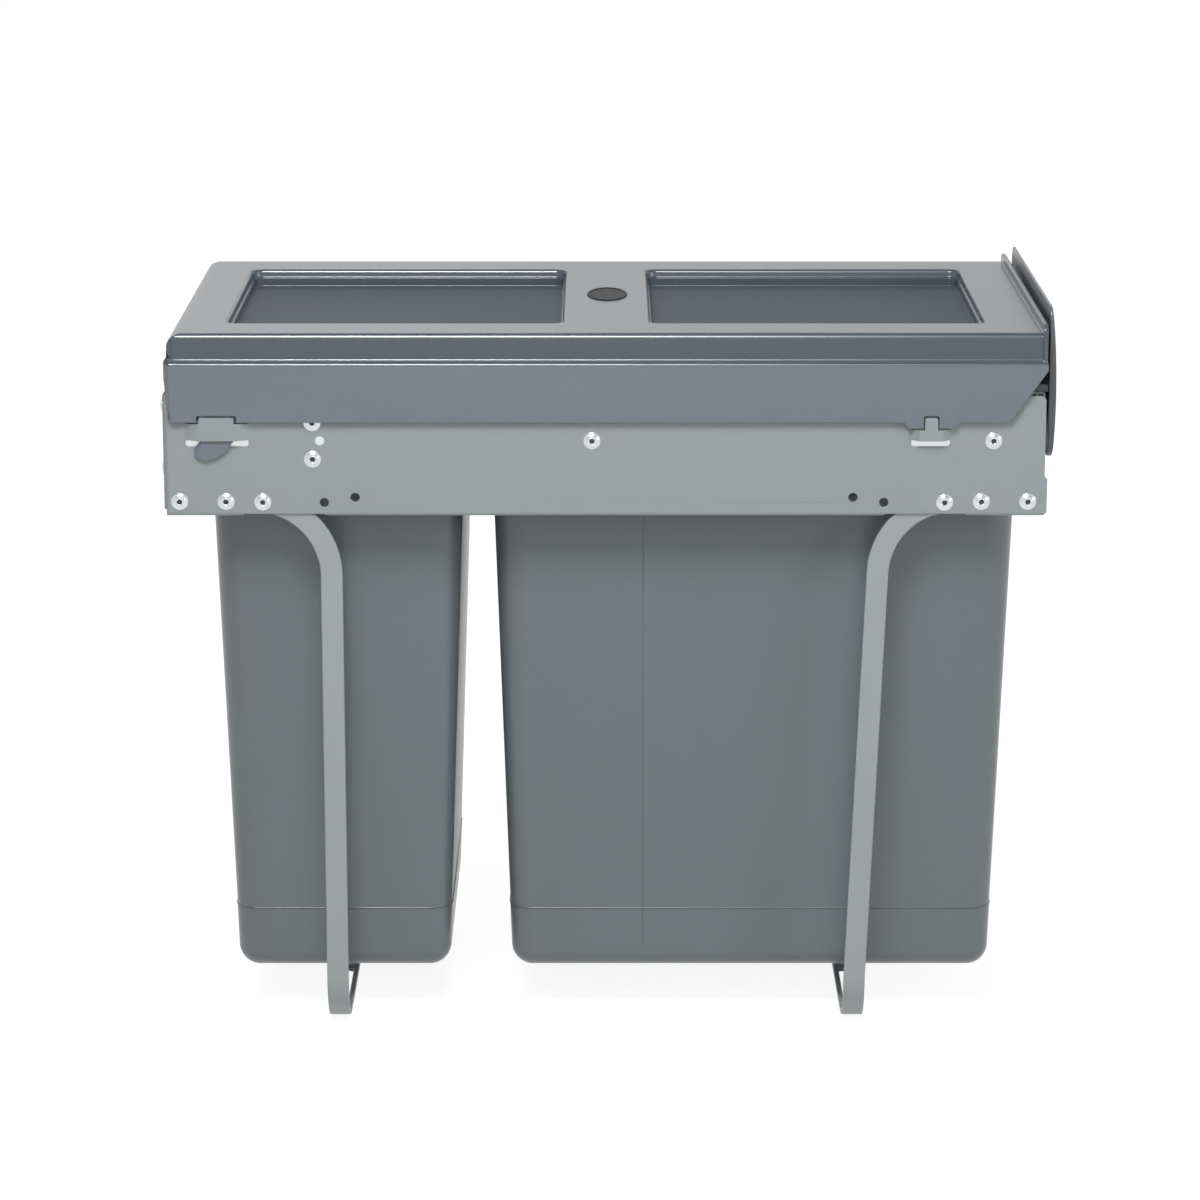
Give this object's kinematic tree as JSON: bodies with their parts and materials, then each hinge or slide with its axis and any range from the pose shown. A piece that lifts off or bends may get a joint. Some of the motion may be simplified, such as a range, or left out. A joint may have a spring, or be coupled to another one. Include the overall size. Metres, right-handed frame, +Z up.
{
  "type": "pull-out trash cabinet",
  "caption": "Pull-out waste bin unit for a base cabinet: riveted steel frame on strap legs, ball-bearing slides, two hanging bins, front plate and a lid that stays put.",
  "frame": {"origin": "on the cabinet floor, at the middle of the side panels", "axes": "+X to the front, the way the bins pull out; +Y across to the far side; +Z up"},
  "size_m": [0.4878, 0.2576, 0.4085],
  "materials": {
    "painted_steel": "satin grey powder coat",
    "leg_paint": "satin grey powder coat",
    "zinc_rivet": "bright",
    "zinc_slide": "bright zinc plating",
    "cage_steel": "yellow zinc plating",
    "ball_steel": "polished",
    "bumper_rubber": "matt",
    "bin_plastic": "satin moulded",
    "lid_plastic": "semi-gloss moulded",
    "front_plastic": "satin moulded",
    "badge_plastic": "matt moulded"
  },
  "bodies": {
    "frame": {"side_panel_near": "painted_steel", "side_panel_far": "painted_steel", "rear_cross_panel": "painted_steel", "rear_leg": "leg_paint", "front_leg": "leg_paint", "frame_rivets": "zinc_rivet", "slide_outer_near": "zinc_slide", "slide_outer_far": "zinc_slide", "slide_bumpers": "bumper_rubber"},
    "lid": {"lid": "lid_plastic", "lid_badge": "badge_plastic"},
    "carrier": {"slide_inner_near": "zinc_slide", "slide_inner_far": "zinc_slide", "carrier_rail_near": "painted_steel", "carrier_rail_far": "painted_steel", "carrier_front_bar": "painted_steel", "carrier_rear_bar": "painted_steel", "carrier_divider": "painted_steel", "carrier_rivets": "zinc_rivet", "front_plate": "front_plastic", "front_plate_screws": "zinc_rivet"},
    "small_bin": {"small_bin": "bin_plastic"},
    "large_bin": {"large_bin": "bin_plastic"},
    "slide_middle_near": {"slide_middle_near": "zinc_slide"},
    "outer_cage_near": {"outer_cage_near": "cage_steel", "outer_balls_near": "ball_steel"},
    "inner_cage_near": {"inner_cage_near": "cage_steel", "inner_balls_near": "ball_steel"},
    "slide_middle_far": {"slide_middle_far": "zinc_slide"},
    "outer_cage_far": {"outer_cage_far": "cage_steel", "outer_balls_far": "ball_steel"},
    "inner_cage_far": {"inner_cage_far": "cage_steel", "inner_balls_far": "ball_steel"}
  },
  "joints": [
    {"name": "lid_lift", "type": "slide", "parent": "frame", "child": "lid", "axis": [0, 0, 1], "range_m": [0, 0.1]},
    {"name": "carrier_slide", "type": "slide", "parent": "frame", "child": "carrier", "axis": [1, 0, 0], "range_m": [0, 0.43]},
    {"name": "small_bin_lift", "type": "slide", "parent": "carrier", "child": "small_bin", "axis": [0, 0, 1], "range_m": [0, 0.01]},
    {"name": "large_bin_lift", "type": "slide", "parent": "carrier", "child": "large_bin", "axis": [0, 0, 1], "range_m": [0, 0.01]},
    {"name": "slide_middle_near_slide", "type": "slide", "parent": "frame", "child": "slide_middle_near", "axis": [1, 0, 0], "range_m": [0, 0.215]},
    {"name": "outer_cage_near_slide", "type": "slide", "parent": "frame", "child": "outer_cage_near", "axis": [1, 0, 0], "range_m": [0, 0.1075]},
    {"name": "inner_cage_near_slide", "type": "slide", "parent": "frame", "child": "inner_cage_near", "axis": [1, 0, 0], "range_m": [0, 0.3225]},
    {"name": "slide_middle_far_slide", "type": "slide", "parent": "frame", "child": "slide_middle_far", "axis": [1, 0, 0], "range_m": [0, 0.215]},
    {"name": "outer_cage_far_slide", "type": "slide", "parent": "frame", "child": "outer_cage_far", "axis": [1, 0, 0], "range_m": [0, 0.1075]},
    {"name": "inner_cage_far_slide", "type": "slide", "parent": "frame", "child": "inner_cage_far", "axis": [1, 0, 0], "range_m": [0, 0.3225]}
  ],
  "couplings": [
    {"joint": "slide_middle_near_slide", "follows": "carrier_slide", "ratio": 0.5},
    {"joint": "outer_cage_near_slide", "follows": "carrier_slide", "ratio": 0.25},
    {"joint": "inner_cage_near_slide", "follows": "carrier_slide", "ratio": 0.75},
    {"joint": "slide_middle_far_slide", "follows": "carrier_slide", "ratio": 0.5},
    {"joint": "outer_cage_far_slide", "follows": "carrier_slide", "ratio": 0.25},
    {"joint": "inner_cage_far_slide", "follows": "carrier_slide", "ratio": 0.75}
  ]
}
